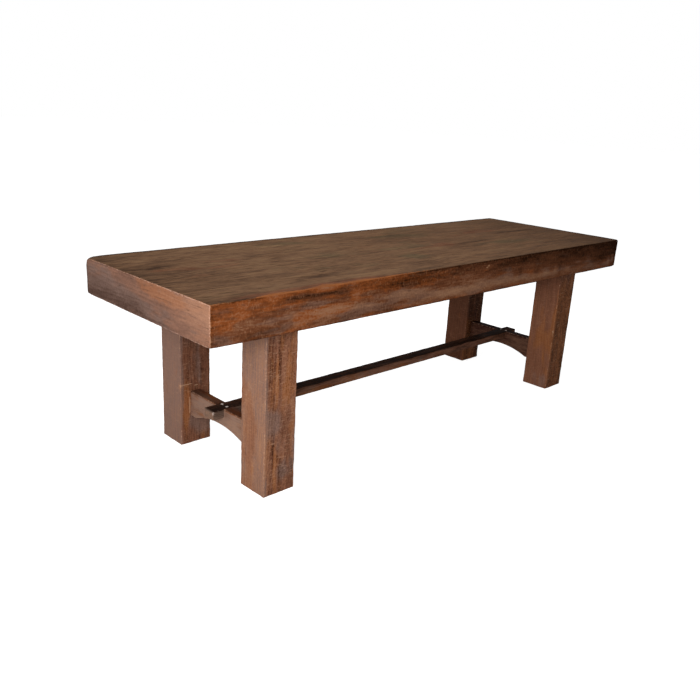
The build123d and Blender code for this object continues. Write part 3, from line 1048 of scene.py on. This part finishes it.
@dataclass
class UnderFrame:
    """Two arched end stretchers and the centre stretcher that lies in their housings."""

    arch_rise: float = 34 * MM
    arch_flat: float = 38 * MM
    leg_inner: float = 203 * MM
    bearer_depth: float = 106 * MM
    bearer_top: float = 226 * MM
    beam_low: float = 190 * MM
    beam_half: float = 28.8 * MM
    # The housing's walls are upright but for this.
    wall: float = 0.1 * MM
    tenon_half: float = 11 * MM
    tenon_shoulder: float = 14 * MM
    along_step: float = 6 * MM
    across_step: float = 8 * MM
    # The upper faces are darkened this deep, partly as painted shade under the table top.
    skin: float = 5 * MM
    seed: int = 80
    # The left stretcher is lighter and greyer, partly painted light and sheen from the lamps on the left; the
    # right one is darker, partly painted shade.
    bearer_stain_and_painted_light: dict[str, StainAndPaintedLight] = field(default_factory=lambda: {
        "left": StainAndPaintedLight(deep=-0.1, ash=0.25, calm=0.4),
        "right": StainAndPaintedLight(deep=0.36, rust=-0.2, ash=-0.3, calm=0.3)})

    def arch(self, along: np.ndarray) -> np.ndarray:
        """The height of the stretcher's lower edge: a circle's arc between two level ends.

        The circle goes through the arch's two feet and its crown, so its radius is half the sum of the
        squared half width and the squared rise, divided by the rise.
        """
        low = self.bearer_top - self.bearer_depth
        half = self.leg_inner - self.arch_flat
        radius = (half ** 2 + self.arch_rise ** 2) / (2 * self.arch_rise)
        rise = np.sqrt(np.maximum(radius ** 2 - along ** 2, 0)) - (radius - self.arch_rise)
        return low + np.where(np.abs(along) < half, np.maximum(rise, 0), 0)

    def end_stretcher(self, side: str) -> Timber:
        """One arched stretcher, with a tenon at each end.

        Its section's lower edge follows the arch, and its upper edge drops into the housing.
        """
        block = node_block(f"end_stretcher_{side}")
        half = self.leg_inner
        edges = [-half, -half + self.arch_flat, -self.beam_half, self.beam_half, half - self.arch_flat, half]
        runs = [np.linspace(a, b, max(2, round((b - a) / self.along_step) + 1))
                for a, b in zip(edges, edges[1:])]
        along = merged([*runs, np.array([-1, 1]) * (self.beam_half - self.wall)])
        top = np.where(np.abs(along) <= self.beam_half - self.wall / 2, self.beam_low, self.bearer_top)
        bottom = self.arch(along)
        shares = rectangle(spread(block.low[0], block.high[0], self.across_step),
                           spread(0.0, self.bearer_depth, self.across_step) / self.bearer_depth)
        rings = np.empty((len(along), len(shares), 3))
        rings[..., 0] = shares[:, 0]
        rings[..., 1] = along[:, None]
        rings[..., 2] = bottom[:, None] + shares[:, 1] * (top - bottom)[:, None]
        # The box to wear follows the arch and the housing, and goes on past the shoulders, which stay sharp.
        low, high = (np.stack(np.broadcast_arrays(*corner), -1)[:, None]
                     for corner in ((block.low[0], -FAR, bottom), (block.high[0], FAR, top)))
        middle = (block.low[0] + block.high[0]) / 2
        tenon_low = self.bearer_top - self.bearer_depth + self.tenon_shoulder
        tenon_high = self.bearer_top - self.tenon_shoulder
        tenon = np.stack([tenon_low + shares[:, 1] * (tenon_high - tenon_low),
                          middle + (shares[:, 0] - middle) * self.tenon_half / (block.high[0] - middle)], 1)
        first, last = (level_rings(np.array(places), tenon, 1)
                       for places in ((block.low[1], -half), (half, block.high[1])))
        # Partly painted shade: the first row darkens the upper faces, under the table top.
        patches = face_marks(2, self.bearer_top, self.skin, [(0, 0, FAR, FAR, 0.45, 0.1, -0.3),
                                                             (-0.91, 0.1, 0.1, 0.05, -0.24, 0.05)])
        patches.append(Patch((block.high[0], -0.13, 0.17), (0.1, 0.08, 0.05), StainAndPaintedLight(deep=-0.14)))
        # The two stretchers differ in their grain and in their unevenness.
        number = len(side)
        return Timber(f"arched_stretcher_{side}", rings, Block(low, high),
                      Grain(1, (60.0, -90.0), start=number * 700.0), (f"end_stretcher_{side}",),
                      "stretcher_wood", radius=2.4 * MM, radius_swing=0.8 * MM, seed=self.seed + number,
                      base=self.bearer_stain_and_painted_light[side], patches=patches, first_rings=first, last_rings=last)

    def centre_stretcher(self) -> Timber:
        """The long bar that runs from end to end of the table."""
        block = node_block("centre_stretcher")
        rings = bar_rings(block, 0, self.along_step, self.across_step)
        return Timber("centre_stretcher_bar", rings, block, Grain(0, (30.0, -60.0)), ("centre_stretcher",),
                      "stretcher_wood", radius=2.2 * MM, radius_swing=1.0 * MM, arris_wear=0.7,
                      seed=self.seed + 20, patches=self.beam_patches(block))

    def beam_patches(self, block: Block) -> list[Patch]:
        """The long bar: nearly black on top, which is partly painted shade under the table top, greyer and
        lighter at its left end, which is partly painted light from the lamps on the left, and less rusty and
        a little darker towards its right one.

        Its near left corner is chipped pale.
        """
        left, front, low, top = block.low[0], block.low[1], block.low[2], block.high[2]
        marks = [(0.75, low, 0.55, FAR, 0.14, -0.12), (-0.49, low, 0.07, 0.014, -0.25, 0.6),
                 (left, low, 0.15, FAR, 0, -0.3, 0.4), (-0.63, low, 0.05, 0.02, 0, -0.3, 0.6)]
        # Partly painted shade on the top face, under the table top; partly painted light on the left end
        # face, lighter and greyer.
        return [Patch((0, 0, top), (FAR, FAR, self.skin), StainAndPaintedLight(deep=0.42)),
                Patch((0, front, low), (FAR, 0.006, FAR), StainAndPaintedLight(rust=0.03)),
                *face_marks(1, front, 0.01, marks),
                Patch((left, 0, 0.2), (self.skin, FAR, FAR), StainAndPaintedLight(deep=-0.28, ash=0.5, worn=-0.6)),
                Patch((left, front, top - 0.008), (0.006, 0.006, 0.008), StainAndPaintedLight(worn=1.6))]

    def build(self, finishes: Materials) -> None:
        """Build and dress the stretchers."""
        for side in ("left", "right"):
            self.end_stretcher(side).build(finishes["bearer"])
        self.centre_stretcher().build(finishes["beam"])


@dataclass
class HiddenFrame:
    """Rails, battens, blocks and fasteners, which keep their CAD solids."""

    finishes_by_node: dict[str, str] = field(default_factory=lambda: {
        "cross_rail": "inner_across", "batten": "inner_across", "corner_block": "inner_upright",
        "leg_bolts": "steel", "plank_screws": "steel", "lap_screws": "screw_heads"})

    def dress(self, nodes: dict[str, bpy.types.Object], finishes: Materials) -> None:
        """Give each hidden node its finish.

        Args:
            nodes: The CAD nodes by name.
            finishes: The materials by name.
        """
        for name, node in nodes.items():
            for start, finish in self.finishes_by_node.items():
                if name.startswith(start):
                    node.data.materials.clear()
                    node.data.materials.append(finishes[finish])
                    LOG.info("%s: %s", name, finish)


@dataclass(frozen=True)
class Lamp:
    """A soft rectangular lamp: where it stands, what it points at, its width and height, and its power."""

    name: str
    place: Triple
    aim: Triple
    size: tuple[float, float]
    watts: float

    def build(self) -> None:
        """Put the lamp into the scene, where the camera doesn't see it."""
        data = bpy.data.lights.new(self.name, "AREA")
        data.shape = "RECTANGLE"
        data.size, data.size_y = self.size
        data.energy = self.watts
        lamp = new_object(self.name, data)
        lamp.location = self.place
        lamp.rotation_euler = (Vector(self.aim) - Vector(self.place)).to_track_quat("-Z", "Y").to_euler()
        lamp.visible_camera = False


@dataclass
class Studio:
    """A pale floor, soft light from the left, and the camera of the photograph.

    The floor's glow and the sky's strength have two values: what lights the table, and what the camera sees.
    """

    lens_mm: float = 37.88
    eye: Triple = (-2.4168, -2.1863, 1.3267)
    yaw: float = 0.77897
    pitch: float = 0.3146
    roll: float = 0.05671
    floor_half: float = 40.0
    floor_glow: tuple[float, float] = (0.05, 0.88)
    sky_strength: tuple[float, float] = (0.16, 1.0)
    lamps: tuple[Lamp, ...] = (
        Lamp("key_lamp", (-2.9, -2.0, 1.6), (-0.6, -0.1, 0.45), (1.6, 1.2), 72),
        Lamp("side_lamp", (-3.4, 1.5, 1.0), (-1.0, 0.0, 0.4), (2.0, 1.6), 14),
        Lamp("overhead_lamp", (0.2, 0.3, 3.2), (0.1, 0.1, 0.7), (3.2, 1.8), 42))

    def camera(self) -> None:
        """Place the camera: it looks yaw from the back towards the right, pitch down, and leans by roll."""
        level = math.cos(self.pitch)
        forward = Vector((math.sin(self.yaw) * level, math.cos(self.yaw) * level, -math.sin(self.pitch)))
        right = Vector((math.cos(self.yaw), -math.sin(self.yaw), 0))
        upward = right.cross(forward)
        side = math.cos(self.roll) * right + math.sin(self.roll) * upward
        head = -math.sin(self.roll) * right + math.cos(self.roll) * upward
        data = bpy.data.cameras.new("photo_camera")
        data.lens = self.lens_mm
        camera = new_object("photo_camera", data)
        turned = Matrix((side, head, -forward)).transposed().to_4x4()
        camera.matrix_world = Matrix.Translation(self.eye) @ turned
        bpy.context.scene.camera = camera

    def floor(self) -> None:
        """Lay a plain pale floor. It glows, faintly on the table but enough to look white behind it."""
        material = bpy.data.materials.new("painted_studio_floor")
        put = node_adder(material)
        lit, seen = self.floor_glow
        glow = put("MapRange", {"Value": put("LightPath").outputs["Is Camera Ray"],
                                "To Min": lit, "To Max": seen})
        shader = put("BsdfPrincipled", {"Base Color": (0.8, 0.8, 0.8, 1), "Roughness": 0.9,
                                        "Emission Color": (1, 1, 1, 1), "Emission Strength": glow})
        put("OutputMaterial", {"Surface": shader})
        half = self.floor_half
        mesh = bpy.data.meshes.new("floor")
        corners = [(-half, -half, 0), (half, -half, 0), (half, half, 0), (-half, half, 0)]
        mesh.from_pydata(corners, [], [(0, 1, 2, 3)])
        mesh.materials.append(material)
        floor = new_object("floor", mesh)

    def sky(self) -> None:
        """Surround the scene with even white light, dimmer on the table than it looks behind it."""
        world = bpy.data.worlds.new("studio")
        put = node_adder(world)
        lit, seen = self.sky_strength
        strength = put("MapRange", {"Value": put("LightPath").outputs["Is Camera Ray"],
                                    "To Min": lit, "To Max": seen})
        put("OutputWorld", {"Surface": put("Background", {"Color": (1, 1, 1, 1), "Strength": strength})})
        bpy.context.scene.world = world

    def build(self) -> None:
        """Build the studio."""
        self.camera()
        self.floor()
        self.sky()
        for lamp in self.lamps:
            lamp.build()
        scene = bpy.context.scene
        scene.view_settings.view_transform = "Standard"
        scene.view_settings.look = "None"


def finishes() -> Materials:
    """Make every finish of the table once.

    Returns:
        The materials by the names that the sub-assemblies use.
    """
    woods = {
        # Cloudy olive-brown stain under wax, with long dark dashes along the planks.
        "top": WoodFinish("waxed_plank_olive_brown", deep="3C2412", middle="7A593F", light="937353",
                          rust="7E4C34", ash="635239", worn="9E5C2C", cloud=Mottle(300, 90, 0.8, 3.0),
                          smear=Mottle(180, 26, 0.9, 3.0, 0.6), fibre=Mottle(60, 12, 0.6),
                          grit=Mottle(24, 14, 0.45), flush=Mottle(360, 120, 0.75, 3.0),
                          bloom=Mottle(360, 140, 0.8, 3.0), pore=Mottle(110, 7, 0.6, 1.5, 0.4),
                          shake=Mottle(170, 10, 0.9, 2.0, 0.8), ring_amount=0.06, wear_amount=0.7,
                          roughness=0.55, specular=0.08),
        # Patchy rust-brown stain, almost black in places and orange in others.
        "long_skirt": WoodFinish("waxed_skirt_rust_brown", deep="2C1406", middle="6E4129", light="9A7054",
                                 rust="8C4A22", ash="765A4C", worn="B88A68", cloud=Mottle(240, 40, 0.8, 2.5),
                                 smear=Mottle(90, 14, 0.7, 2.5, 0.6), fibre=Mottle(20, 6, 0.4),
                                 grit=Mottle(9, 7, 0.6), flush=Mottle(120, 28, 0.75, 2.5, 0.6),
                                 bloom=Mottle(110, 24, 0.55, 2.5, 0.6), pore=Mottle(30, 5, 0.2),
                                 shake=Mottle(90, 8, 0.2), saw=Mottle(6, 14, 0.2), ring_amount=0.05,
                                 specular=0.01),
        # The same wood with the light and sheen of the lamps on the left painted into its colour: pinkish
        # brown, with wide rings and short dark shakes.
        "end_skirt": WoodFinish("waxed_skirt_pink_brown_painted_sheen", deep="4E352A", middle="86604E", light="B08064",
                                rust="9C6442", ash="7A6258", worn="D0A48E", cloud=Mottle(200, 50, 0.6, 3.0),
                                smear=Mottle(150, 22, 0.35, 3.0, 0.5), fibre=Mottle(40, 6, 0.3),
                                grit=Mottle(9, 7, 0.45), flush=Mottle(150, 50, 0.7, 3.0),
                                bloom=Mottle(150, 50, 0.8, 3.0), pore=Mottle(40, 5, 0.15),
                                shake=Mottle(150, 6, 0.6, 2.0, 1.0), ring_amount=0.09, ring_mm=13.0,
                                specular=0.06),
        # Rough-sawn posts: grainy rust brown, with the saw's marks across them.
        "post": WoodFinish("waxed_post_sawn_rust", deep="3E1F10", middle="865842", light="AE7C5C",
                           rust="9A6038", ash="84695E", worn="C49A7A", cloud=Mottle(120, 44, 0.7, 3.0),
                           smear=Mottle(160, 10, 0.75, 3.0, 0.3), fibre=Mottle(24, 5, 0.5),
                           grit=Mottle(7, 6, 1.0), flush=Mottle(160, 36, 0.7, 2.5),
                           bloom=Mottle(160, 60, 0.8), pore=Mottle(24, 5, 0.3),
                           shake=Mottle(90, 7, 0.35, 2.0, 0.4), saw=Mottle(5, 28, 0.36, 2.0, 0.4),
                           ring_amount=0.18, wear_amount=0.5, specular=0.03),
        # Planed stretchers: soft pinkish brown, with little grain.
        "bearer": WoodFinish("waxed_stretcher_pink_brown", deep="381A12", middle="84604C", light="AA8066",
                             rust="8A5028", ash="8C7468", worn="B8927A", cloud=Mottle(110, 40, 0.6, 3.0),
                             smear=Mottle(90, 16, 0.5, 3.0), bloom=Mottle(110, 40, 0.7, 3.0),
                             ring_amount=0.08, specular=0.06),
        # The long bar: dark brown with pale worn arrises.
        "beam": WoodFinish("waxed_stretcher_near_black", deep="2A1810", middle="7A5340", light="94705A",
                           rust="7A4828", ash="6E5A4E", worn="C4B0A4", cloud=Mottle(160, 40, 0.7, 3.0),
                           smear=Mottle(110, 14, 0.7, 3.0), ring_amount=0.08, wear_amount=0.7,
                           specular=0.04),
    }
    # The hidden rails and blocks: dull sawn wood under a thin stain, with the saw's marks left on.
    inner = dict(deep="3A2A1F", middle="6A4F39", light="866A4E", rust="8A5A38", ash="7A6450", worn="9A7A5C",
                 saw=Mottle(4, 60, 0.35), roughness=0.7, wear_amount=0.0)
    woods["inner_across"] = WoodFinish("sawn_rail_thin_stain", grain_from=GrainFrom.ACROSS, **inner)
    woods["inner_upright"] = WoodFinish("sawn_block_thin_stain", grain_from=GrainFrom.UPRIGHT, **inner)
    # The screw heads that show are paler and less mirror-like than the bolts, as the photograph has them:
    # their near-white colour is partly a painted highlight and partly pale wax and dust.
    metals = {"steel": SteelFinish("zinc_plated_bolt_steel"),
              "screw_heads": SteelFinish("zinc_plated_screw_steel_painted_highlight", bright="F2E8E2", dull="D8C8C0",
                                         metallic=0.3)}
    return {name: finish.material() for name, finish in (woods | metals).items()}


def main() -> None:
    """Load the frame, build and dress every piece, and set up the studio."""
    logging.basicConfig(level=logging.INFO, format="%(name)s %(message)s")
    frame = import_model()
    materials = finishes()
    Top().build(materials)
    Posts().build(materials)
    UnderFrame().build(materials)
    HiddenFrame().dress(frame["nodes"], materials)
    Studio().build()


if __name__ == "__main__":
    main()
